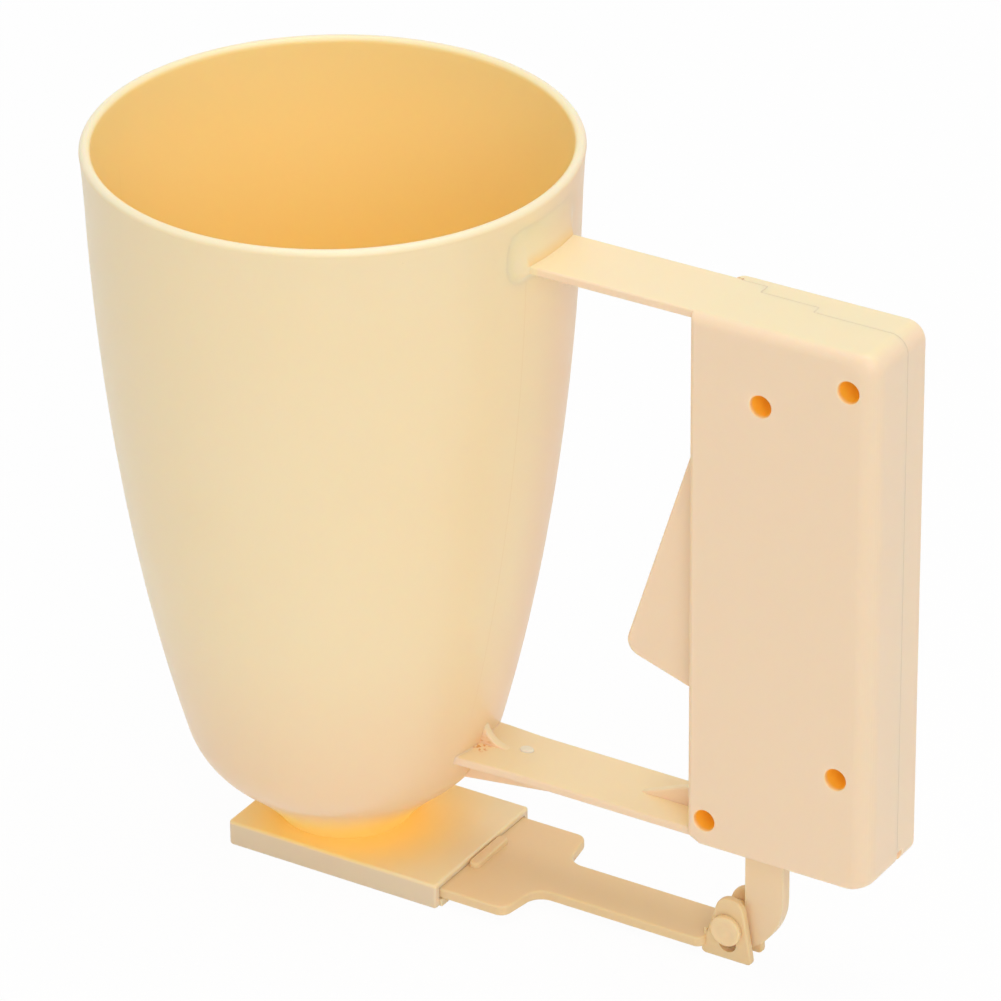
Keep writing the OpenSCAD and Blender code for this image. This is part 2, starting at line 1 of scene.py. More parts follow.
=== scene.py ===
from math import asin, cos, degrees, pi, radians, sin, sqrt

import bmesh
import bpy
from mathutils import Matrix, Vector
from mathutils.geometry import convex_hull_2d


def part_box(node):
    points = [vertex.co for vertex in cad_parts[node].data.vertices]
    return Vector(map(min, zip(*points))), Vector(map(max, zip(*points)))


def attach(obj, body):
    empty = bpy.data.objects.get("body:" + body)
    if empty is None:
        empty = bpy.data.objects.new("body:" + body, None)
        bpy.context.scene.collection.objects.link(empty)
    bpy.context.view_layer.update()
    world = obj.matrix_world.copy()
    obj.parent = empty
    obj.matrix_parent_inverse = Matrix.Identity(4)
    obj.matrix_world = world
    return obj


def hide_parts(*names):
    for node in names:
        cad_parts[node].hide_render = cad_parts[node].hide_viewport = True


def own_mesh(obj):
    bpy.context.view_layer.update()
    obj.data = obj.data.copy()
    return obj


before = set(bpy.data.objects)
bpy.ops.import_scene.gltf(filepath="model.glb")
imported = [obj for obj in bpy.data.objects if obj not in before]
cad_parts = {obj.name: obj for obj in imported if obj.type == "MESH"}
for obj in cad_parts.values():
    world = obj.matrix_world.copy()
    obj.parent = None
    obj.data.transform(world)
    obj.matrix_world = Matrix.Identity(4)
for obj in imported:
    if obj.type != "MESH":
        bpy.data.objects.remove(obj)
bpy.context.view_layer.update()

# ------------------------------------------------
# Camera: a long lens that looks down on the dispenser from the side with the
# screw wells, with the cup on the left and the grip on the right.
# ------------------------------------------------
view_turn = radians(31.77)
view_rise = radians(28.57)
view_roll = radians(-0.52)
view_distance = 1.50018
aim_height, aim_right, aim_up = 0.085, 0.0344, -0.00277     # over the outlet, then off that point

towards = Vector((sin(view_turn) * cos(view_rise), -cos(view_turn) * cos(view_rise), sin(view_rise)))
level = Vector((cos(view_turn), sin(view_turn), 0))
right = cos(view_roll) * level + sin(view_roll) * towards.cross(level)
up = towards.cross(right)
aim = Vector((0, 0, aim_height)) + aim_right * right + aim_up * up

camera_data = bpy.data.cameras.new("camera")
camera_data.sensor_width = 36
camera_data.lens = 251.59
camera_data.clip_end = 20
camera = bpy.data.objects.new("camera", camera_data)
camera.matrix_world = (Matrix.Translation(aim + view_distance * towards)
                       @ Matrix((right, up, towards)).transposed().to_4x4())
bpy.context.scene.collection.objects.link(camera)
bpy.context.scene.camera = camera

# ------------------------------------------------
# Studio: a pale floor under a white sky, one large soft lamp overhead and a
# weaker one from the front, a little to the right. Floor and sky look white.
# ------------------------------------------------
bpy.context.scene.view_settings.view_transform = "Standard"


class Wire:
    """One output of a node. Sums, differences and products add Math nodes."""

    def __init__(self, graph, socket):
        self.graph, self.socket = graph, socket

    def __add__(self, other):
        return self.graph.maths("ADD", self, other)

    def __sub__(self, other):
        return self.graph.maths("SUBTRACT", self, other)

    def __rsub__(self, other):
        return self.graph.maths("SUBTRACT", other, self)

    def __mul__(self, other):
        return self.graph.maths("MULTIPLY", self, other)

    __radd__, __rmul__ = __add__, __mul__


class Graph:
    """A node tree that is filled node by node."""

    def __init__(self, tree):
        self.tree = tree

    def node(self, kind, settings={}, inputs={}, out=0):
        """Adds a node, sets it up, fills its sockets and returns one output."""
        made = self.tree.nodes.new(kind)
        for key, value in settings.items():
            if key == "stops":
                self.set_stops(made.color_ramp, value)
            else:
                setattr(made, key, value)
        for key, value in inputs.items():
            if isinstance(value, Wire):
                self.tree.links.new(value.socket, made.inputs[key])
            else:
                made.inputs[key].default_value = value
        return Wire(self, made.outputs[out]) if made.outputs else made

    def set_stops(self, ramp, stops):
        while len(ramp.elements) < len(stops):
            ramp.elements.new(1)
        for element, (place, value) in zip(ramp.elements, stops):
            element.position = place
            element.color = (value, value, value, 1)

    def maths(self, operation, first, second=0.0):
        return self.node("ShaderNodeMath", {"operation": operation}, {0: first, 1: second})

    def noise(self, place, scale, detail, distortion=0.0):
        return self.node("ShaderNodeTexNoise", {}, {"Vector": place, "Scale": scale,
                                                    "Detail": detail, "Distortion": distortion})

    def blend(self, amount, first, second):
        """One colour over another, by an amount from 0 to 1."""
        return self.node("ShaderNodeMix", {"data_type": "RGBA"}, {0: amount, 6: first, 7: second}, out=2)


def empty_material(name):
    material = bpy.data.materials.new(name)
    material.use_nodes = True
    material.node_tree.nodes.clear()
    return material, Graph(material.node_tree)


def seen_directly(graph):
    """1 for rays that come from the eye, straight or by mirror or glass."""
    path = graph.node("ShaderNodeLightPath").socket.node.outputs
    eye, glossy, clear = [Wire(graph, path["Is %s Ray" % kind])
                          for kind in ("Camera", "Glossy", "Transmission")]
    return graph.maths("MAXIMUM", graph.maths("MAXIMUM", eye, glossy), clear)


def light_the_sky(sky_strength):
    world = bpy.data.worlds.new("sky")
    world.use_nodes = True
    world.node_tree.nodes.clear()
    bpy.context.scene.world = world
    graph = Graph(world.node_tree)
    white = (1, 1, 1, 1)
    soft = graph.node("ShaderNodeBackground", {}, {"Color": white, "Strength": sky_strength})
    plain = graph.node("ShaderNodeBackground", {}, {"Color": white, "Strength": 1.0})
    both = graph.node("ShaderNodeMixShader", {}, {0: seen_directly(graph), 1: soft, 2: plain})
    graph.node("ShaderNodeOutputWorld", {}, {"Surface": both})


def lay_floor(half_width, drop, shadow_share):
    material, graph = empty_material("floor_white")
    matt = graph.node("ShaderNodeBsdfDiffuse", {}, {"Color": (0.92, 0.92, 0.92, 1)})
    bright = graph.node("ShaderNodeEmission", {}, {"Color": (1, 1, 1, 1), "Strength": 1.0})
    share = seen_directly(graph) * (1 - shadow_share)
    both = graph.node("ShaderNodeMixShader", {}, {0: share, 1: matt, 2: bright})
    graph.node("ShaderNodeOutputMaterial", {}, {"Surface": both})
    mesh = bpy.data.meshes.new("floor")
    ways = ((-1, -1), (1, -1), (1, 1), (-1, 1))
    mesh.from_pydata([(x * half_width, y * half_width, -drop) for x, y in ways], [], [(0, 1, 2, 3)])
    mesh.materials.append(material)
    floor = bpy.data.objects.new("floor", mesh)
    bpy.context.scene.collection.objects.link(floor)


def hang_lamp(name, place, aim_at, width, watts, colour):
    data = bpy.data.lights.new(name, "AREA")
    data.shape = "DISK"
    data.size = width
    data.energy = watts
    data.color = colour
    lamp = bpy.data.objects.new(name, data)
    way = Vector(aim_at) - Vector(place)
    lamp.matrix_world = Matrix.Translation(place) @ way.to_track_quat("-Z", "Y").to_matrix().to_4x4()
    bpy.context.scene.collection.objects.link(lamp)


dispenser_middle = (0.04, 0, 0.08)
light_the_sky(0.55)
lay_floor(half_width=4.0, drop=0.0001, shadow_share=0.04)
bpy.context.scene.cycles.diffuse_bounces = 8     # light goes round the deep cup many times
hang_lamp("overhead_lamp", (0.1, 0.1, 1.6), dispenser_middle, 1.2, 8.0, (1.0, 0.99, 0.97))
hang_lamp("front_lamp", (1.25, -1.35, 1.0), dispenser_middle, 1.0, 10.0, (1.0, 0.98, 0.95))

# ------------------------------------------------
# Cup: a deep tumbler with a round bottom, a short neck and an open throat,
# injection moulded in cream plastic. It is one moulding with the gate housing,
# the straps and the near shell of the grip, which follow as pieces of their own.
# ------------------------------------------------
MM = 0.001


def in_mm(node):
    """A CAD node's lowest and highest corner, in millimetres."""
    return [Vector(corner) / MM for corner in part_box(node)]


def arc(middle, radius, start, end, steps):
    """Points of an arc, from a start to an end angle in degrees."""
    turns = [radians(start + (end - start) * i / steps) for i in range(steps + 1)]
    return [(middle[0] + radius * cos(a), middle[1] + radius * sin(a)) for a in turns]


def circle(middle, radius, steps):
    """Points all the way round a circle."""
    return arc(middle, radius, 0, 360 - 360 / steps, steps - 1)


def cream_plastic(name, roughness, specks=0.5, shift=(0, 0, 0), tone=(1, 1, 1), layers=None):
    """Moulded cream plastic: a slow drift of its colour, a fine skin and a few dark
    specks of dirt in the melt. Layers are more colours to lay over it, some of them painted
    shade or glow, and a painted glow (emission) for light that comes through thin walls, each as a list
    of (amount, colour)."""
    material, graph = empty_material(name)
    spot = graph.node("ShaderNodeTexCoord", out="Object")
    place = graph.node("ShaderNodeMapping", {}, {"Vector": spot, "Location": shift})
    drift = graph.noise(place, 22.0, 2.0)
    smears = graph.noise(place, 140.0, 4.0, 0.6)
    ripple = graph.noise(place, 95.0, 1.0)
    grain = graph.noise(place, 2600.0, 2.0)
    light, deep = [tuple(c * t for c, t in zip(cream, tone)) + (1,)
                   for cream in ((0.975, 0.80, 0.52), (0.965, 0.775, 0.475))]
    colour = graph.blend(drift, light, deep)
    over, through = layers(graph, spot) if layers else ([], [])
    for amount, tint in over:
        colour = graph.blend(amount, colour, tint)
    # Painted glow: emitted colour that stands for light coming through thin walls.
    glow = (0, 0, 0, 1)
    for amount, tint in through:
        glow = graph.blend(amount, glow, tint)
    cell = graph.node("ShaderNodeTexVoronoi", {}, {"Vector": place, "Scale": 150.0, "Randomness": 1.0})
    cell_colour = Wire(graph, cell.socket.node.outputs["Color"])
    pick = graph.node("ShaderNodeSeparateColor", {}, {"Color": cell_colour})
    chosen = graph.maths("GREATER_THAN", pick, 1.0 - 0.06 * specks)
    near = graph.node("ShaderNodeMapRange", {}, {"Value": cell, "From Min": 0.02, "From Max": 0.07,
                                                 "To Min": 0.75, "To Max": 0.0})
    colour = graph.blend(chosen * near, colour, (0.20, 0.12, 0.05, 1))
    rough = smears * 0.16 + (roughness - 0.08)
    height = ripple * 0.6 + grain * 0.06
    bump = graph.node("ShaderNodeBump", {}, {"Strength": 0.35, "Distance": 0.00006, "Height": height})
    shell = graph.node("ShaderNodeBsdfPrincipled", {"subsurface_method": "RANDOM_WALK"}, {
        "Base Color": colour, "Roughness": rough, "Normal": bump, "IOR": 1.49,
        "Emission Color": glow, "Emission Strength": 1.0,
        "Subsurface Weight": 0.5, "Subsurface Radius": (1.0, 0.7, 0.4), "Subsurface Scale": 0.0015})
    graph.node("ShaderNodeOutputMaterial", {}, {"Surface": shell})
    return material


def ramp(graph, value, start, end, low=0.0, high=1.0):
    """A smooth step from low to high as a value goes from start to end."""
    return graph.node("ShaderNodeMapRange", {"interpolation_type": "SMOOTHSTEP"}, {
        "Value": value, "From Min": start, "From Max": end, "To Min": low, "To Max": high})


def axes(graph, vector):
    """A vector's three parts."""
    parts = graph.node("ShaderNodeSeparateXYZ", {}, {"Vector": vector}).socket.node.outputs
    return [Wire(graph, part) for part in parts]


def facing_axes(graph):
    """How far a surface faces along X and along Y."""
    return axes(graph, graph.node("ShaderNodeTexCoord", out="Normal"))[:2]


def cup_layers(graph, spot):
    """Painted glow: amber inside the cup, deeper towards its bottom, and round the neck,
    where light comes through. Painted shade: the round bottom and the side towards the
    grip's far face are warmer and darker, and a painted highlight lightens the rim's top.
    A faint mould line joins the roots of the two straps."""
    x, y, z = axes(graph, spot)
    outwards = graph.node("ShaderNodeVectorMath", {"operation": "NORMALIZE"}, {
        0: graph.node("ShaderNodeCombineXYZ", {}, {"X": x, "Y": y})})
    facing = graph.node("ShaderNodeTexCoord", out="Normal")
    tilt = graph.node("ShaderNodeVectorMath", {"operation": "DOT_PRODUCT"}, {0: facing, 1: outwards},
                      out="Value")
    # Painted glow: the inner wall is painted amber, more so towards the bottom.
    inside = ramp(graph, tilt, -0.05, -0.5)
    outside = ramp(graph, tilt, -0.02, 0.05)
    # Painted shade: the outside of the round bottom is painted warmer and darker.
    painted_bowl_shade = outside * ramp(graph, z, 0.075, 0.014)
    x_facing, y_facing = facing_axes(graph)
    # Painted shade on the side that faces the grip's far face, which gets less light.
    painted_far_shade = outside * ramp(graph, y_facing, -0.12, 0.30) * ramp(graph, x_facing, 0.3, 0.6)
    # Painted glow round the neck: amber over the colour and an emitted glow.
    neck = outside * ramp(graph, z, 0.021, 0.008)
    # Painted highlight: the rim's top band is painted lighter.
    rim = ramp(graph, z, cup_height * MM - 0.0010, cup_height * MM - 0.0004, 0.0, 0.5)
    from_line = graph.maths("ABSOLUTE", y - mould_line * MM)
    parting = (ramp(graph, from_line, 0.00022, 0.00008) * ramp(graph, z, 0.154, 0.150)
               * ramp(graph, z, 0.036, 0.046) * ramp(graph, x_facing, 0.5, 0.6))
    over = [(parting * 0.35, (0.90, 0.68, 0.38, 1)),
            (inside * ramp(graph, z, 0.165, 0.03, 0.30, 0.55), (0.985, 0.755, 0.10, 1)),
            (painted_far_shade, painted_far_shade_tint),
            (painted_bowl_shade, (0.955, 0.696, 0.437, 1)),
            (neck * 0.6, (0.98, 0.60, 0.12, 1)),
            (rim, (1.0, 0.90, 0.70, 1))]
    # Painted glow (emission) inside the cup, stronger towards the grip, and round the neck.
    through = inside * ramp(graph, z, 0.15, 0.03, 0.3, 1.0) * ramp(graph, x, 0.0, 0.045, 0.5, 1.0)
    return over, [(through, (0.10, 0.088, 0.011, 1)), (neck, (0.12, 0.125, 0.02, 1))]


def open_tree(name, inputs, result):
    """A geometry node tree with named inputs and one result, still empty."""
    tree = bpy.data.node_groups.new(name, "GeometryNodeTree")
    for label, kind in inputs.items():
        tree.interface.new_socket(label, in_out="INPUT", socket_type="NodeSocket" + kind)
    tree.interface.new_socket(result, in_out="OUTPUT", socket_type="NodeSocketGeometry")
    graph = Graph(tree)
    sockets = graph.node("NodeGroupInput").socket.node.outputs
    return tree, graph, {socket.name: Wire(graph, socket) for socket in sockets}


def close_tree(graph, shape, material, result):
    """Makes a tree's shape real, gives it its material and sends it out."""
    shape = graph.node("GeometryNodeRealizeInstances", {}, {"Geometry": shape})
    shape = graph.node("GeometryNodeSetMaterial", {}, {"Geometry": shape, "Material": material})
    graph.node("NodeGroupOutput", {}, {result: shape})


def lathe_tree():
    """Turns a section that is drawn in the XZ plane round the Z axis."""
    tree, graph, given = open_tree("lathe", {"Section": "Geometry", "Path radius": "Float",
                                             "Steps": "Int", "Material": "Material"}, "Turned")
    inwards = graph.node("ShaderNodeCombineXYZ", {}, {"X": 0.0 - given["Path radius"]})
    section = graph.node("GeometryNodeTransform", {}, {
        "Geometry": given["Section"], "Translation": inwards, "Rotation": (pi / 2, 0, 0)})
    section = graph.node("GeometryNodeMeshToCurve", {}, {"Mesh": section})
    path = graph.node("GeometryNodeCurvePrimitiveCircle", {}, {
        "Radius": given["Path radius"], "Resolution": given["Steps"]})
    path = graph.node("GeometryNodeSetCurveNormal", {"mode": "Z_UP"}, {"Curve": path})
    turned = graph.node("GeometryNodeCurveToMesh", {}, {"Curve": path, "Profile Curve": section})
    close_tree(graph, turned, given["Material"], "Turned")
    return tree


def new_object(name, mesh):
    made = bpy.data.objects.new(name, mesh)
    bpy.context.scene.collection.objects.link(made)
    return made


def settle(piece):
    """Replaces a piece's mesh by the one its modifiers give, without them."""
    bpy.context.view_layer.update()
    shaped = piece.evaluated_get(bpy.context.evaluated_depsgraph_get())
    mesh = bpy.data.meshes.new_from_object(shaped)
    piece.modifiers.clear()
    old, piece.data = piece.data, mesh
    bpy.data.meshes.remove(old)
    return piece


def grow(piece, tree, inputs):
    """Runs a geometry node tree on a piece and keeps the plain mesh it gives."""
    modifier = piece.modifiers.new(tree.name, "NODES")
    modifier.node_group = tree
    for item in tree.interface.items_tree:
        if item.in_out == "INPUT" and item.name in inputs:
            modifier[item.identifier] = inputs[item.name]
    return settle(piece)


def face_outwards(mesh, merge=0.0):
    loose = bmesh.new()
    loose.from_mesh(mesh)
    if merge:
        bmesh.ops.remove_doubles(loose, verts=loose.verts, dist=merge)
    bmesh.ops.recalc_face_normals(loose, faces=loose.faces)
    loose.to_mesh(mesh)
    loose.free()


def turn_on_lathe(name, section, steps, path_radius, material):
    """A closed section of (radius, height) points in mm, turned round Z."""
    mesh = bpy.data.meshes.new(name)
    count = len(section)
    mesh.from_pydata([(r * MM, 0, z * MM) for r, z in section],
                     [(i, (i + 1) % count) for i in range(count)], [])
    piece = new_object(name, mesh)
    grow(piece, lathe, {"Path radius": path_radius * MM, "Steps": steps, "Material": material})
    face_outwards(piece.data)
    return piece


def smooth(piece, crease=32):
    """Smooth shading, broken at creases sharper than a number of degrees."""
    mesh = piece.data
    mesh.shade_smooth()
    mesh.set_sharp_from_angle(angle=radians(crease))
    even = piece.modifiers.new("even_normals", "WEIGHTED_NORMAL")
    even.keep_sharp = True
    return settle(piece)


def fit(piece, body, node, material):
    """Gives a piece its finish and its body, and hides the CAD node it stands for."""
    piece.data.materials.clear()
    piece.data.materials.append(material)
    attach(piece, body)
    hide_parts(node)


lathe = lathe_tree()
cup_high = in_mm("cup_frame")[1]
rim_flare, flare_height, inner_flare = 0.6, 15, 0.4
cup_radius, cup_height = cup_high.y - rim_flare, cup_high.z
cup_wall = 2.1
bowl_radius, bowl_middle = 22.5, Vector((12.8, 35.9))
wall_lean, neck_slope, foot_slope = 15.5, 40, 57
neck_radius, throat_radius = 14.9, 10
housing_top, slot_top = 6.0, 4.6
mould_line = -7.3
# Painted shade: the tint for faces that get less light.
painted_far_shade_tint = (0.90, 0.655, 0.40, 1)


def leaning(angle):
    """The way up a slope of a number of degrees, in the section's plane."""
    return Vector((cos(radians(angle)), sin(radians(angle))))


def bezier(bend, steps):
    """Points of a cubic curve, from its two ends and the two handles between."""
    points = []
    for i in range(steps + 1):
        t = i / steps
        shares = ((1 - t) ** 3, 3 * t * (1 - t) ** 2, 3 * t * t * (1 - t), t ** 3)
        points.append(tuple(sum(s * p[k] for s, p in zip(shares, bend)) for k in (0, 1)))
    return points


def wall_curve(wall, steps):
    """The long wall from the round bottom up to the rim, moved inwards by a wall. It
    flares out a little under the rim."""
    knee = bowl_middle + (bowl_radius - wall) * leaning(-wall_lean)
    span = cup_height - knee.y
    rim = cup_radius - wall
    curve = bezier([knee, knee + 0.4 * span * leaning(90 - wall_lean),
                    (rim, cup_height - 0.2 * span), (rim, cup_height)], steps)
    flare = rim_flare * (1 - (1 - inner_flare) * wall / cup_wall)
    return [(r + flare * max(0, 1 - (cup_height - z) / flare_height) ** 2, z) for r, z in curve]


def neck_curve(wall, foot_radius):
    """The neck from its foot on the housing up to the round bottom."""
    foot = Vector((foot_radius, housing_top))
    head = bowl_middle + (bowl_radius - wall) * leaning(neck_slope - 90)
    return bezier([foot, foot + 5 * leaning(foot_slope), head - 5 * leaning(neck_slope), head], 14)


def cup_radius_at(height):
    """Outer radius of the long wall at a height over the underside."""
    return min(wall_curve(0, 400), key=lambda p: abs(p[1] - height))[0]


def cup_section():
    lip = (cup_wall + rim_flare * (1 - inner_flare)) / 2
    sunk = housing_top - 0.6      # the neck's foot is sunk in the housing's top
    outside = [(neck_radius, sunk)] + neck_curve(0, neck_radius)
    outside += arc(bowl_middle, bowl_radius, neck_slope - 90, -wall_lean, 20)[1:]
    outside += [p for p in wall_curve(0, 64)[1:] if p[1] < cup_height - lip]
    rim = arc((cup_radius + rim_flare - lip, cup_height - lip), lip, 0, 180, 12)
    inside = neck_curve(cup_wall, throat_radius)
    inside += arc(bowl_middle, bowl_radius - cup_wall, neck_slope - 90, -wall_lean, 20)[1:]
    inside += [p for p in wall_curve(cup_wall, 64)[1:] if p[1] < cup_height - lip]
    return outside + rim + inside[::-1] + [(throat_radius, sunk)]


cup_plastic = cream_plastic("cup_moulding", roughness=0.34, specks=1.0, layers=cup_layers)
cup = turn_on_lathe("cup", cup_section(), 224, 25, cup_plastic)
smooth(cup, crease=40)
fit(cup, "frame", "cup_frame", cup_plastic)

# ------------------------------------------------
# Gate housing: the flat box under the neck that the gate slides in, open
# towards the grip. Moulded with the cup, with soft edges and a plain top.
# ------------------------------------------------


def skin(rings):
    """A closed solid through rings of points in mm, capped at both ends."""
    loose = bmesh.new()
    loops = [[loose.verts.new(Vector(p) * MM) for p in ring] for ring in rings]
    for first, second in zip(loops, loops[1:]):
        for i, corner in enumerate(first):
            j = (i + 1) % len(first)
            loose.faces.new((corner, first[j], second[j], second[i]))
    loose.faces.new(loops[0])
    loose.faces.new(loops[-1])
    bmesh.ops.recalc_face_normals(loose, faces=loose.faces)
    mesh = bpy.data.meshes.new("solid")
    loose.to_mesh(mesh)
    loose.free()
    return new_object("solid", mesh)


def upright(outline, low, high):
    """A solid from an (x, y) outline, between two heights."""
    return skin([[(x, y, z) for x, y in outline] for z in (low, high)])


def sideways(outline, near, far):
    """A solid from an (x, z) outline, between two distances across."""
    return skin([[(x, y, z) for x, z in outline] for y in (near, far)])


def block(low, high):
    return upright([(low[0], low[1]), (high[0], low[1]), (high[0], high[1]), (low[0], high[1])],
                   low[2], high[2])


def rod(place, radius, near, far, steps=48):
    """A round solid across, at an (x, z) place."""
    return sideways(circle(place, radius, steps), near, far)


def combine(piece, tools, operation):
    """Adds tools to a piece, cuts them out of it or keeps what they share."""
    for tool in tools:
        step = piece.modifiers.new("combine", "BOOLEAN")
        step.operation = operation
        step.solver = "EXACT"
        step.object = tool
    settle(piece)
    for tool in tools:
        bpy.data.objects.remove(tool)
    return piece


def soften(piece, width, steps=3, angle=35):
    """Rounds a solid's sharp edges."""
    bevel = piece.modifiers.new("soften", "BEVEL")
    bevel.width = width * MM
    bevel.segments = steps
    bevel.limit_method = "ANGLE"
    bevel.angle_limit = radians(angle)
    bevel.use_clamp_overlap = True
    return settle(piece)


def round_rectangle(low, high, radii, steps=8):
    """Corners from the lower left one on, counterclockwise, each with its radius."""
    (x0, y0), (x1, y1), (a, b, c, d) = low, high, radii
    return (arc((x0 + a, y0 + a), a, 180, 270, steps) + arc((x1 - b, y0 + b), b, 270, 360, steps)
            + arc((x1 - c, y1 - c), c, 0, 90, steps) + arc((x0 + d, y1 - d), d, 90, 180, steps))


housing_front, housing_back, housing_half = 18.5, 35.0, 19.35
housing_wall, housing_edge, plate_thick = 1.6, 0.65, 1.8


def catches(grown):
    """Catches on the long edges of the plate under the housing, or their pockets."""
    y, z = housing_half - housing_wall, plate_thick / 2
    reach, out, deep = 4 + grown, 0.7 + grown, plate_thick / 4 + grown
    return [block((x - reach, side * y - out, z - deep), (x + reach, side * y + out, z + deep))
            for x in (-4, housing_back - 12) for side in (-1, 1)]


def gate_housing():
    slot_half = housing_half - housing_wall
    shell = soften(upright(round_rectangle((-housing_front, -housing_half), (housing_back, housing_half),
                                           (1, 0.6, 0.6, 1)), 0, housing_top), housing_edge, 4)
    slot = block((housing_wall - housing_front, -slot_half, -1), (housing_back + 5, slot_half, slot_top))
    throat = upright(circle((0, 0), throat_radius, 90), slot_top - 1, housing_top + 1)
    return combine(shell, [slot, throat] + catches(0.1), "DIFFERENCE")


def housing_layers(graph, spot):
    """Painted glow: amber on the housing's top, close to the neck, where light comes through, and
    painted shade on the housing's sides.
    """
    x, y, z = axes(graph, spot)
    flat = graph.node("ShaderNodeCombineXYZ", {}, {"X": x, "Y": y})
    away = graph.node("ShaderNodeVectorMath", {"operation": "LENGTH"}, {0: flat}, out="Value")
    # Painted glow on the top, close to the neck.
    near = ramp(graph, away, 0.036, 0.0145) * ramp(graph, z, 0.0050, 0.0058)
    # Painted shade: the sides, below the top, are painted darker.
    side = ramp(graph, z, 0.0056, 0.0050)
    return ([(near * 0.65, (0.98, 0.60, 0.14, 1)), (side, (0.84, 0.69, 0.49, 1))],
            [(near * ramp(graph, x, -0.015, 0.020, 0.5, 0.8), (0.15, 0.105, 0.005, 1))])


housing_plastic = cream_plastic("housing_moulding", roughness=0.36, layers=housing_layers)
housing = gate_housing()
housing.name = "gate_housing"
smooth(housing)
fit(housing, "frame", "cup_frame", housing_plastic)

# ------------------------------------------------
# Straps: two flat bars from the cup to the grip, moulded with both. The lower
# one spreads where it meets the cup and has thin webs on and under it.
# ------------------------------------------------
cover_low, cover_high = in_mm("grip_cover")
grip_front, grip_back = cover_low.x, cup_high.x
grip_bottom, grip_top, grip_far = cover_low.z, cover_high.z, cover_high.y
grip_near, grip_wall = 10.4, 2.0
strap_thick = 2.0
upper_half, lower_half = 8.8, 8.5
lower_top = grip_bottom + 2.2


def bar_ring(x, half, low, high, edge, bend=0.0, steps=4, across=10):
    """A ring across a flat bar, its long edges rounded, bent to a round wall. It has
    points along the flat sides too, so that it can follow a wall."""
    corners = ((half - edge, high - edge, 0), (edge - half, high - edge, 90),
               (edge - half, low + edge, 180), (half - edge, low + edge, 270))
    ring = []
    for y0, z0, start in corners:
        ring += arc((y0, z0), edge, start, start + 90, steps)
        if start in (0, 180):      # a flat side comes next
            ring += [(y0 * (1 - 2 * i / across), ring[-1][1]) for i in range(1, across)]
    if bend:
        return [(x + sqrt(bend ** 2 - y * y) - bend, y, z) for y, z in ring]
    return [(x, y, z) for y, z in ring]


def swell(depth, radius):
    """How far a fillet stands out, at a distance from the wall it meets."""
    return radius - sqrt(radius ** 2 - (radius - depth) ** 2) if depth < radius else 0.0


def on_wall(ring, depth):
    """A ring laid on the cup's wall, a depth outside it."""
    return [(sqrt(cup_radius_at(z) ** 2 - y * y) + depth, y, z) for x, y, z in ring]


def strap(top, half, root, climb, spread, spread_length):
    """A bar that starts inside the cup's wall and ends inside the grip's. Its root
    stands out of the wall, climbs on it above the bar and fades out to the sides."""
    low = top - strap_thick
    wall = cup_radius_at((top + low) / 2)
    edge, sunk, steps = 0.55, -0.8, 12
    rings = [on_wall(bar_ring(0, 1, low + 0.4, top - 0.4, 0.5), sunk)]
    for i in range(-1, steps + 1):
        out = climb * min(1, 1 - i / steps)
        ring = bar_ring(0, half + spread + 0.5 * out, low - 0.3 * out, top + out, edge + 0.45 * out)
        rings.append(on_wall(ring, sunk if i < 0 else root * (i / steps) ** 2))
    for i in range(1, steps + 1):
        along = i / steps
        ease = along * along * (3 - 2 * along)
        x = wall + root + along * spread_length
        rings.append(bar_ring(x, half + spread * (1 - ease), low, top, edge, wall / (1.001 - ease)))
    rings.append(bar_ring(grip_front + grip_wall - 0.2, half, low, top, edge))
    return skin(rings)


def lower_webs():
    root = cup_radius_at(lower_top)
    low = lower_top - strap_thick
    inner_front = grip_front + grip_wall - 0.3
    half_thick, hollow, tip = 1.0, 6.2, 0.9
    sunk, web_height = lower_top - 1, lower_top + 6.6
    middle = (root + tip + hollow, lower_top + hollow)
    at_cup = [(root - 0.9, sunk), (middle[0], sunk)] + arc(middle, hollow, 270, 180, 12)
    at_cup.append((root - 0.3, lower_top + hollow))
    at_grip = [(grip_front - 16.5, lower_top), (grip_front - 13, sunk), (inner_front, sunk),
               (inner_front, web_height), (grip_front, web_height)]
    under = [(root - 7, low - 8.3), (grip_front, low - 0.05), (inner_front, low + 0.8),
             (root - 1, low + 1)]
    return [soften(sideways(outline, -half_thick, half_thick), 0.35)
            for outline in (at_cup, at_grip, under)]


def feed_mark():
    """The pale oval stub on the lower strap where the mould was fed."""
    middle, reach = (45.6, 1.5), (1.65, 1.3)
    rings = []
    for high, size in ((-0.3, 1.0), (0.1, 1.0), (0.35, 0.9), (0.5, 0.65)):
        rings.append([(middle[0] + reach[0] * x * size, middle[1] + reach[1] * y * size,
                       lower_top + high) for x, y in circle((0, 0), 1, 24)])
    return skin(rings)


mark_plastic = cream_plastic("mark_moulding", roughness=0.5, shift=(0.1, 0, 0), tone=(1.0, 1.1, 1.45))
mark = feed_mark()
mark.name = "feed_mark"
smooth(mark)
fit(mark, "frame", "cup_frame", mark_plastic)
upper_strap = strap(grip_top, upper_half, root=1.9, climb=8.5, spread=0.0, spread_length=6)
lower_strap = combine(strap(lower_top, lower_half, root=0.3, climb=0.3, spread=0.6, spread_length=12),
                      lower_webs(), "UNION")

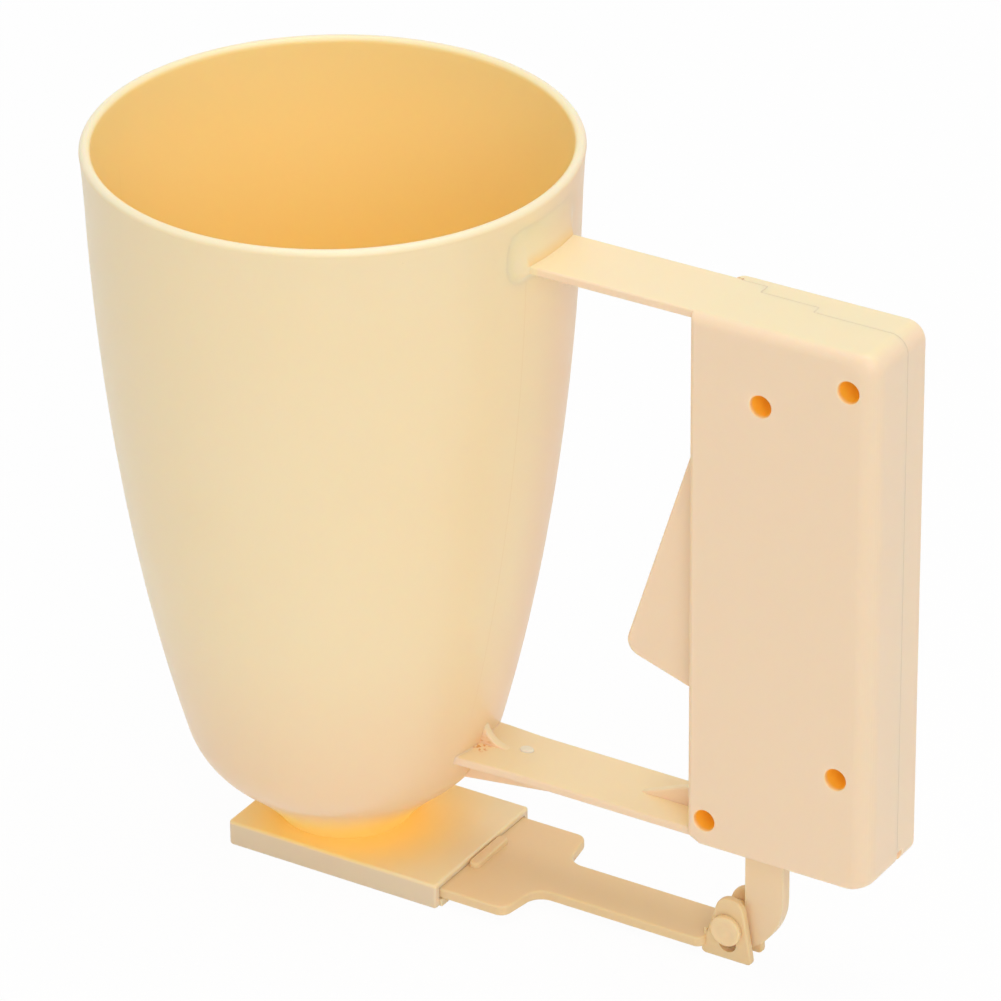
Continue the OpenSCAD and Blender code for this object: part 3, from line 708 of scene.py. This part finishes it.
# ------------------------------------------------
# Grip: two moulded shells that meet off the middle, held by screws in deep
# wells from the near face. The near shell is part of the cup's moulding.
# ------------------------------------------------
seam, seam_gap = 2.8, 0.07
seam_steps = ((21.6, 5.2), (8, 8.1))     # in the top wall: how far back, and where across
near_edges, far_edges = (1.6, 4.2, 1.0, 2.6), (3.0, 1.0, 1.0, 1.0)     # front, back, low and top
top_corner, low_corner = 4.0, 3.0
slant_length, slant_height = 2.6, 1.4
pivot = (grip_front + 16.9, grip_top - 17)
corner_screws = [(grip_back - 6.4, grip_top - 8.4), (grip_back - 7.9, grip_bottom + 25.8),
                 (grip_front + 4.4, grip_bottom + 6.3)]
screws = [pivot] + corner_screws
well_radius, well_wall, well_floor = 2.45, 1.3, 2.5
head_seat = seam - 0.1 - well_floor
screw_hole, pilot_hole, far_boss = 1.48, 1.2, 2.3
axle_radius, spacer_radius = 4.2, 6.2
blade_half, blade_slot_low, blade_slot_high = 5.0, 59, 131
leg_slot_front, leg_slot_back = grip_front + 9.2, grip_front + 39.9
spring_height = grip_bottom + 69
spring_back = grip_back - grip_wall - 0.3
peg_radius = 2.2


def grip_outline(front, back, low, top):
    """The grip seen from its side, with each side moved inwards."""
    x0, x1 = grip_front + front, grip_back - back
    z0, z1 = grip_bottom + low, grip_top - top
    return ([(x0, z0 + slant_height), (x0 + slant_length, z0)]
            + arc((x1 - low_corner, z0 + low_corner), low_corner, 270, 360, 10)
            + arc((x1 - top_corner, z1 - top_corner), top_corner, 0, 90, 12)
            + arc((x0 + 0.6, z1 - 0.6), 0.6, 90, 180, 4))


def grip_form():
    """The grip's whole outer form, its near and far edges rounded."""
    rings = []
    for side, face, edges in ((1, -grip_near, near_edges), (-1, grip_far, far_edges)):
        depths = {round(r * (1 - cos(radians(a))), 4) for r in set(edges) for a in range(0, 91, 10)}
        for depth in sorted(depths)[::side]:
            outline = grip_outline(*[swell(depth, r) for r in edges])
            rings.append([(x, face + side * depth, z) for x, z in outline])
    return skin(rings)


def grip_hollow():
    w = grip_wall
    outline = grip_outline(w, w, w, w)
    return sideways(outline, w - grip_near, grip_far - w)


def near_side(gap):
    """The near side of the seam, which steps twice in the top wall."""
    top = grip_top - grip_wall - 0.01 - gap
    main = block((grip_front - 9, -60, 0), (grip_back + 9, seam + gap, 200))
    steps = [block((grip_front - 9, -60, top), (grip_front + back + gap, across + gap, 200))
             for back, across in seam_steps]
    return combine(main, steps, "UNION")


def well(place):
    """Cutter for a screw's well, with a mouth that is rounded at the near face."""
    lip = 0.35
    rings = []
    for i in range(6):
        depth = lip * i / 5
        rings.append((depth - grip_near, well_radius + swell(depth, lip)))
    rings.append((head_seat, well_radius))
    rings.insert(0, (-grip_near - 2, well_radius + lip))
    return skin([[(x, y, z) for x, z in circle(place, r, 48)] for y, r in rings])


def blade_slot():
    return block((grip_front - 2, -blade_half - 0.4, blade_slot_low),
                 (grip_front + 2.5, blade_half + 0.4, blade_slot_high))


def lying_rod(height, radius, front, back):
    """A round solid along the grip's depth, on its middle plane."""
    return skin([[(x, y, z) for y, z in circle((0, height), radius, 32)] for x in (front, back)])


def near_shell():
    end = seam - 0.1
    root = grip_wall / 2 - grip_near
    shell = combine(grip_form(), [grip_hollow()], "DIFFERENCE")
    shell = combine(shell, [near_side(-seam_gap / 2)], "INTERSECT")
    bosses = [rod(p, well_radius + well_wall, root, end) for p in corner_screws]
    bosses += [rod(pivot, axle_radius, root, end), rod(pivot, spacer_radius, root, -blade_half - 0.3),
               lying_rod(spring_height, peg_radius, spring_back - 3, spring_back + 1)]
    shell = combine(shell, bosses, "UNION")
    cutters = [well(p) for p in screws]
    cutters += [rod(p, screw_hole, head_seat - 0.5, end + 1, 24) for p in screws]
    leg_slot = block((leg_slot_front, -2.5, grip_bottom - 2),
                     (leg_slot_back, seam + 1, grip_bottom + 2.5))
    return combine(shell, cutters + [blade_slot(), leg_slot], "DIFFERENCE")


def far_shell():
    start = seam + 0.05
    root = grip_far - grip_wall / 2
    shell = combine(grip_form(), [grip_hollow()], "DIFFERENCE")
    strap_rooms = [block((grip_front - 1, -60, z0 - 0.1), (grip_front + grip_wall + 0.1, half + 0.1, z1))
                   for half, z0, z1 in ((upper_half, grip_top - strap_thick, 200),
                                        (lower_half, lower_top - strap_thick, lower_top + 0.1))]
    shell = combine(shell, [near_side(seam_gap / 2)] + strap_rooms, "DIFFERENCE")
    bosses = [rod(p, far_boss, start, root) for p in corner_screws]
    bosses += [rod(pivot, axle_radius, start, root), rod(pivot, spacer_radius, blade_half + 0.3, root)]
    shell = combine(shell, bosses, "UNION")
    notch = block((grip_back - 1.2, seam - 1, grip_bottom - 2),
                  (grip_back + 1, seam + 2.1, grip_bottom + 3.6))
    pilots = [rod(p, pilot_hole, start - 1, root, 24) for p in screws]
    return combine(shell, pilots + [blade_slot(), notch], "DIFFERENCE")


def painted_face_shade(graph, spot):
    """Painted shade: a slightly rosier, darker cream on the near faces and on those at the back, which
    get less light than the tops.
    """
    x, y, z = axes(graph, spot)
    x_facing, y_facing = facing_axes(graph)
    off_the_cup = graph.maths("MAXIMUM", ramp(graph, x, 0.0545, 0.0560), ramp(graph, z, 0.10, 0.09))
    near = ramp(graph, y_facing, 0.0, -0.7) * off_the_cup
    back = ramp(graph, x_facing, 0.2, 0.9) * ramp(graph, x, 0.070, 0.075)
    return graph.maths("MAXIMUM", near, back), (0.97, 0.728, 0.51, 1)


def grip_layers(graph, spot):
    """Painted glow: amber down the screws' wells, where light comes through. Painted shade
    and glow over the upper strap's root, and painted shade on the near and back faces and
    on the root's faces that get less light. A brown stain in the corner of the web on the lower one."""
    x, y, z = axes(graph, spot)
    # Painted glow in the wells, stronger deeper in.
    deep = ramp(graph, y, (0.2 - grip_near) * MM, (1.5 - grip_near) * MM, 0.35, 1.0)
    found = 0.0
    for place in screws:
        from_axis = graph.node("ShaderNodeCombineXYZ", {}, {"X": x - place[0] * MM,
                                                            "Z": z - place[1] * MM})
        away = graph.node("ShaderNodeVectorMath", {"operation": "LENGTH"}, {0: from_axis}, out="Value")
        found = ramp(graph, away, (well_radius + 0.25) * MM, (well_radius + 0.05) * MM) + found
    well_light = found * deep
    corner = graph.node("ShaderNodeVectorMath", {"operation": "DISTANCE"}, {
        0: spot, 1: Vector((36.6, -2.3, lower_top)) * MM}, out="Value")
    blots = graph.noise(spot, 1100.0, 1.0)
    stain = ramp(graph, corner, 0.0028, 0.0008) * ramp(graph, blots, 0.50, 0.62)
    x_facing, y_facing = facing_axes(graph)
    # Painted shade and glow over the upper strap's root, and painted shade on its faces that get less
    # light.
    root = ramp(graph, x, 0.060, 0.055) * ramp(graph, x_facing, 0.3, 0.6)
    amber = (root * ramp(graph, z, (grip_top + 2.6) * MM, grip_top * MM, 0.0, 0.7)
             * ramp(graph, z, (grip_top - 0.3) * MM, grip_top * MM)
             * ramp(graph, y, (-0.6 - upper_half) * MM, (0.4 - upper_half) * MM))
    over = [painted_face_shade(graph, spot),
            (root * ramp(graph, y_facing, -0.12, 0.30), painted_far_shade_tint),
            (amber, (0.97, 0.64, 0.25, 1)),
            (well_light, (0.975, 0.535, 0.065, 1)),
            (stain, (0.80, 0.42, 0.12, 1))]
    return over, [(well_light, (0.085, 0.058, 0.002, 1))]


grip_plastic = cream_plastic("grip_moulding", roughness=0.34, layers=grip_layers)
near_half = combine(near_shell(), [upper_strap, lower_strap], "UNION")
near_half.name = "grip_and_straps"
smooth(near_half)
fit(near_half, "frame", "cup_frame", grip_plastic)


def shell_layers(graph, spot):
    # Painted shade on the near and back faces.
    return [painted_face_shade(graph, spot)], []


cover_plastic = cream_plastic("cover_moulding", roughness=0.34, shift=(0.3, 0.1, 0.2),
                              layers=shell_layers)
far_half = far_shell()
far_half.name = "grip_far_shell"
smooth(far_half)
fit(far_half, "frame", "grip_cover", cover_plastic)

# ------------------------------------------------
# Trigger: a hub on the axle between the shells, a broad blade for the fingers
# and a leg that leaves the grip at its bottom. One solid moulding.
# ------------------------------------------------
hub_radius = 7.5
blade_lean = radians(17.7)
blade_corner = (grip_front - 18.5, grip_bottom + 39)
blade_depth, blade_length = 27.5, 61
pin_x, pin_z, pin_radius, eye_radius = grip_front + 7, 7.7, 2.0, 4.6
leg_front, leg_back, leg_near, leg_far = pin_x + 2.8, pin_x + 12, -2.0, 0.8
leg_neck = leg_back - 4.1
heel_radius, toe_height = 15.5, 0.9
seat_radius, lever_peg_radius, lever_peg_length = 3.7, 1.0, 1.6
spring_front = in_mm("return_spring")[0].x


def on_blade(across_blade, along_blade):
    """A place on the blade, measured square to its front edge and along it."""
    return (blade_corner[0] + across_blade * cos(blade_lean) + along_blade * sin(blade_lean),
            blade_corner[1] - across_blade * sin(blade_lean) + along_blade * cos(blade_lean))


def leg_solid():
    """The leg from the blade's web down to its long round heel, and the pin's eye. It
    runs between the gate's ears, and is narrower inside the grip."""
    root = on_blade(blade_depth, 0)[1] + 4
    foot = pin_x - eye_radius
    heel = (leg_back - heel_radius, toe_height + heel_radius)
    start = -90 - degrees(asin((heel[0] - foot) / heel_radius))
    outline = [(leg_front, root), (leg_front, pin_z), (foot, pin_z)]
    outline += arc(heel, heel_radius, start, 0, 24)
    outline += [(leg_back, grip_bottom + 3.5), (leg_neck, grip_bottom + 11.5), (leg_neck, root)]
    leg = combine(sideways(outline, leg_near, leg_far),
                  [rod((pin_x, pin_z), eye_radius, leg_near, leg_far)], "UNION")
    return soften(leg, 0.4, 3)


def trigger():
    outline = round_rectangle((0, 0), (blade_depth, blade_length), (3.5, 1, 1, 3))
    blade = soften(sideways([on_blade(u, v) for u, v in outline], -blade_half, blade_half), 0.6, 4)
    web = [on_blade(3, blade_length - 1), (pivot[0] - hub_radius, pivot[1]),
           (pivot[0] + hub_radius, pivot[1]), (leg_neck, on_blade(blade_depth, 0)[1]),
           on_blade(blade_depth - 1, 1)]
    added = [sideways(web, 0.2 - blade_half, blade_half - 0.2),
             rod(pivot, hub_radius, -blade_half, blade_half), leg_solid(),
             lying_rod(spring_height, seat_radius, spring_front - 6, spring_front - 0.3),
             lying_rod(spring_height, lever_peg_radius, spring_front - 6,
                       spring_front + lever_peg_length)]
    lever = combine(blade, added, "UNION")
    return combine(lever, [rod(pivot, axle_radius + 0.08, -20, 20),
                           rod((pin_x, pin_z), pin_radius + 0.02, -20, 20)], "DIFFERENCE")


def trigger_layers(graph, spot):
    """Painted shade: rosier, darker near and back faces on the blade, and a darker leg under the grip,
    where it lies in shade.
    """
    # Painted shade on the leg below the grip.
    leg = ramp(graph, axes(graph, spot)[2], grip_bottom * MM, (grip_bottom - 2) * MM, 0.0, 0.8)
    return [painted_face_shade(graph, spot), (leg, (0.89, 0.70, 0.45, 1))], []


trigger_plastic = cream_plastic("trigger_moulding", roughness=0.42, shift=(0.1, 0.4, 0.1),
                                layers=trigger_layers)
lever = trigger()
lever.name = "trigger_lever_moulding"
smooth(lever)
fit(lever, "trigger", "trigger_lever", trigger_plastic)

# ------------------------------------------------
# Gate: a flat slide with a stop rib, a narrow arm and a fork of two ears,
# moulded in one. The trigger's leg pulls it by a pin in the ears' slots.
# ------------------------------------------------
gate_low, gate_high = in_mm("gate_slide")
gate_bottom, gate_top = 2.0, 4.4
gate_half, gate_end, gate_corner = 17.45, 51.5, 2.6
arm_half, arm_blend = 6.5, 4.0
ear_thick, ear_height, ear_gap = 1.7, gate_high.z, 3.9
far_ear = 2.8
near_ear = far_ear - 2 * ear_thick - ear_gap
ear_toe, ear_round = pin_x - 6.4, 3.5
slot_above_pin, slot_below_pin = 2.8, 5.8
arm_end = ear_toe + 1.2
rib_length, rib_thick, rib_height = 13.4, 2.6, 1.3


def gate_outline():
    half = [(gate_low.x, gate_half)]
    half += arc((gate_end - gate_corner, gate_half - gate_corner), gate_corner, 90, 10, 8)
    half += arc((gate_end + arm_blend + 0.8, arm_half + arm_blend), arm_blend, 190, 270, 10)
    half += arc((arm_end - 2, arm_half - 2), 2, 90, 0, 8)
    return half + [(x, -y) for x, y in reversed(half)]


def ear(near, lean, heel):
    """An upright ear. Its round top is moved by a lean, and its foot ends at a heel."""
    points = circle((pin_x + lean, ear_height - ear_round), ear_round, 30)
    points += circle((ear_toe + 1, 1), 1, 12) + circle((pin_x + heel - 1, 1), 1, 12)
    outline = [points[i] for i in convex_hull_2d(points)]
    return soften(sideways(outline, near, near + ear_thick), 0.4, 3)


def gate():
    slide = soften(upright(gate_outline(), gate_bottom, gate_top), 0.5, 4)
    reach, half = (rib_length - rib_thick) / 2, rib_thick / 2
    middle = housing_back + 0.3 + half
    rib = upright(arc((middle, reach), half, 0, 180, 12) + arc((middle, -reach), half, 180, 360, 12),
                  gate_top - 0.6, gate_top + rib_height)
    tie = block((ear_toe + 0.5, near_ear + 0.3, 1), (arm_end, far_ear - 0.3, 6))
    ears = [ear(near_ear, 0.4, 5.8), ear(far_ear - ear_thick, 1.2, 5.3)]
    slide = combine(slide, [soften(rib, 0.5, 3), tie] + ears, "UNION")
    slot_radius = pin_radius + 0.1
    slot = (arc((pin_x, pin_z + slot_above_pin - slot_radius), slot_radius, 0, 180, 16)
            + arc((pin_x, pin_z - slot_below_pin + slot_radius), slot_radius, 180, 360, 16))
    return combine(slide, [sideways(slot, -20, 20)], "DIFFERENCE")


# Painted shade: the gate is given a darker tone for the shade it lies in under the housing and the grip.
gate_plastic = cream_plastic("gate_moulding", roughness=0.44, shift=(0.2, 0.3, 0.5),
                             tone=(0.90, 0.845, 0.77))
slide = gate()
slide.name = "gate_moulding_slide"
smooth(slide)
fit(slide, "gate", "gate_slide", gate_plastic)

# ------------------------------------------------
# Link pin: a short headed pin of the same plastic, pressed into the leg's eye.
# Its head is flat, with a shallow ring pressed in it.
# ------------------------------------------------
head_radius, head_thick = 3.6, 1.4


def link_pin():
    face = -(near_ear - 0.1 - head_thick)
    back = face - head_thick
    end = -far_ear - 0.3
    section = [(0.05, end), (pin_radius - 0.3, end), (pin_radius, end + 0.3), (pin_radius, back)]
    section += [(head_radius - 0.15, back)] + arc((head_radius - 0.5, face - 0.5), 0.5, 0, 90, 6)
    section += [(2.0, face), (1.8, face - 0.12), (1.1, face - 0.14), (0.9, face - 0.05),
                (0.05, face - 0.04)]
    pin = turn_on_lathe("link_pin_moulding", section, 48, 1.5, None)
    pin.data.transform(Matrix.Translation((pin_x * MM, 0, pin_z * MM))
                       @ Matrix.Rotation(pi / 2, 4, "X"))
    return pin


pin_plastic = cream_plastic("pin_moulding", roughness=0.40, shift=(0.6, 0.1, 0.3), tone=(1, 0.90, 0.83))
pin = link_pin()
smooth(pin)
fit(pin, "trigger", "link_pin", pin_plastic)

# ------------------------------------------------
# Outlet plate: a flat plate snapped into the housing's underside by catches on
# its long edges, with the round hole that the batter leaves by.
# ------------------------------------------------


def outlet_plate():
    low, high = in_mm("outlet_plate")
    edge = housing_half - housing_wall - 0.1
    plate = soften(block((low.x, -edge, 0), (high.x, edge, plate_thick)), 0.3, 3)
    plate = combine(plate, catches(0), "UNION")
    lip = 0.5
    radii = [(-1, throat_radius + lip)]
    radii += [(z, throat_radius + swell(z, lip)) for z in (0, 0.04, 0.15, 0.3, lip)]
    radii += [(plate_thick + 1, throat_radius)]
    hole = skin([[(x, y, z) for x, y in circle((0, 0), r, 90)] for z, r in radii])
    return combine(plate, [hole], "DIFFERENCE")


plate_plastic = cream_plastic("plate_moulding", roughness=0.40, shift=(0.4, 0.2, 0.7))
plate = outlet_plate()
plate.name = "outlet_plate_moulding"
smooth(plate)
fit(plate, "frame", "outlet_plate", plate_plastic)

# ------------------------------------------------
# Return spring: a coil of spring wire between a peg on the trigger and one on
# the grip's back wall, with a closed coil at each end.
# ------------------------------------------------
coil_radius, wire_radius, coil_count = 3.3, 0.4, 8


def steel(name, roughness, streaks):
    """Drawn steel wire or a turned head: grey, with fine marks and duller patches."""
    material, graph = empty_material(name)
    spot = graph.node("ShaderNodeTexCoord", out="Object")
    stretched = graph.node("ShaderNodeMapping", {}, {"Vector": spot, "Scale": streaks})
    marks = graph.noise(stretched, 900.0, 3.0)
    patches = graph.noise(spot, 260.0, 2.0)
    colour = graph.blend(patches, (0.50, 0.51, 0.53, 1), (0.66, 0.66, 0.65, 1))
    bump = graph.node("ShaderNodeBump", {}, {"Strength": 0.3, "Distance": 0.00003, "Height": marks})
    shell = graph.node("ShaderNodeBsdfPrincipled", {}, {
        "Base Color": colour, "Metallic": 1.0, "Normal": bump,
        "Roughness": patches * 0.2 + marks * 0.1 + (roughness - 0.15)})
    graph.node("ShaderNodeOutputMaterial", {}, {"Surface": shell})
    return material


def coil_tree():
    """Winds wire along X. The turns at both ends lie close, the others open."""
    tree, graph, given = open_tree("coil", {"Turns": "Float", "Steps": "Int", "Radius": "Float",
                                            "Wire": "Float", "Run": "Float", "Material": "Material"},
                                   "Wound")
    line = graph.node("GeometryNodeCurvePrimitiveLine", {}, {"End": (1, 0, 0)})
    line = graph.node("GeometryNodeResampleCurve", {}, {"Curve": line, "Count": given["Steps"]})
    turn = graph.node("GeometryNodeSplineParameter") * given["Turns"]
    closed = given["Wire"] * 2.1
    low = graph.maths("MINIMUM", turn, 1.0)
    high = graph.maths("MAXIMUM", turn - given["Turns"] + 1.0, 0.0)
    rise = graph.maths("DIVIDE", turn - low - high, given["Turns"] - 2.0)
    along = closed * (low + high) + rise * (given["Run"] - closed * 2.0)
    angle = turn * (2 * pi)
    place = graph.node("ShaderNodeCombineXYZ", {}, {
        "X": along, "Y": graph.maths("COSINE", angle) * given["Radius"],
        "Z": graph.maths("SINE", angle) * given["Radius"]})
    line = graph.node("GeometryNodeSetPosition", {}, {"Geometry": line, "Position": place})
    round_wire = graph.node("GeometryNodeCurvePrimitiveCircle", {}, {
        "Resolution": 12, "Radius": given["Wire"]})
    wound = graph.node("GeometryNodeCurveToMesh", {}, {
        "Curve": line, "Profile Curve": round_wire, "Fill Caps": True})
    close_tree(graph, wound, given["Material"], "Wound")
    return tree


spring_steel = steel("spring_steel", roughness=0.34, streaks=(1, 1, 1))
spring = new_object("spring_coil", bpy.data.meshes.new("spring_coil"))
run = spring_back - spring_front - 2 * wire_radius
grow(spring, coil_tree(), {"Turns": float(coil_count), "Steps": 32 * coil_count,
                           "Radius": coil_radius * MM, "Wire": wire_radius * MM, "Run": run * MM,
                           "Material": spring_steel})
spring.data.transform(Matrix.Translation(((spring_front + wire_radius) * MM, 0, spring_height * MM)))
face_outwards(spring.data, merge=1e-7)
smooth(spring)
fit(spring, "frame", "return_spring", spring_steel)
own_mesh(spring)

# ------------------------------------------------
# Screws: four self-tapping screws with cross-cut pan heads, each at the bottom
# of a well. They pass the near shell and bite into the far shell's bosses.
# ------------------------------------------------


def screw_blank(material):
    """One screw, head down at its seat, its shank along +Z, ridged by its thread."""
    head, high, shank = 2.25, 1.8, 1.18
    length = grip_far - grip_wall / 2 - 0.3 - head_seat
    section = [(0.02, -high + 0.05), (1.2, -high)] + arc((head - 0.9, 0.9 - high), 0.9, -80, 0, 6)
    section += [(head, -0.12), (head - 0.12, 0), (shank - 0.18, 0)]
    ridges = int((length - 1.2) / 0.8)
    for i in range(ridges):
        foot = 0.4 + 0.8 * i
        section += [(shank - 0.2, foot), (shank, foot + 0.3), (shank, foot + 0.36),
                    (shank - 0.2, foot + 0.66)]
    section += [(shank - 0.3, length - 0.5), (0.25, length), (0.02, length)]
    blank = turn_on_lathe("screw_blank", section, 32, 1.1, material)
    cross = [block((-1.4, -0.3, -high - 1), (1.4, 0.3, -high + 0.8)),
             block((-0.3, -1.4, -high - 1), (0.3, 1.4, -high + 0.8))]
    return smooth(combine(blank, cross, "DIFFERENCE"))


def screw_tree():
    """Sets a copy of the screw at every point, turned a little differently."""
    tree, graph, given = open_tree("screws", {"Places": "Geometry", "Screw": "Object", "Seed": "Int",
                                              "Material": "Material"}, "Screws")
    shape = graph.node("GeometryNodeObjectInfo", {}, {"Object": given["Screw"]}, out="Geometry")
    spin = graph.node("FunctionNodeRandomValue", {"data_type": "FLOAT"}, {
        2: 0.0, 3: pi / 2, "Seed": given["Seed"]}, out=1)
    turned = graph.node("ShaderNodeCombineXYZ", {}, {"X": -pi / 2, "Z": 0.0, "Y": spin})
    placed = graph.node("GeometryNodeInstanceOnPoints", {}, {
        "Points": given["Places"], "Instance": shape, "Rotation": turned})
    close_tree(graph, placed, given["Material"], "Screws")
    return tree


screw_steel = steel("screw_steel", roughness=0.30, streaks=(1, 6, 1))
places = bpy.data.meshes.new("screw_places")
places.from_pydata([(x * MM, head_seat * MM, z * MM) for x, z in screws], [], [])
blank = screw_blank(screw_steel)
driven = new_object("screws_in_wells", places)
grow(driven, screw_tree(), {"Screw": blank, "Seed": 3, "Material": screw_steel})
bpy.data.objects.remove(blank)
fit(driven, "frame", "grip_screws", screw_steel)
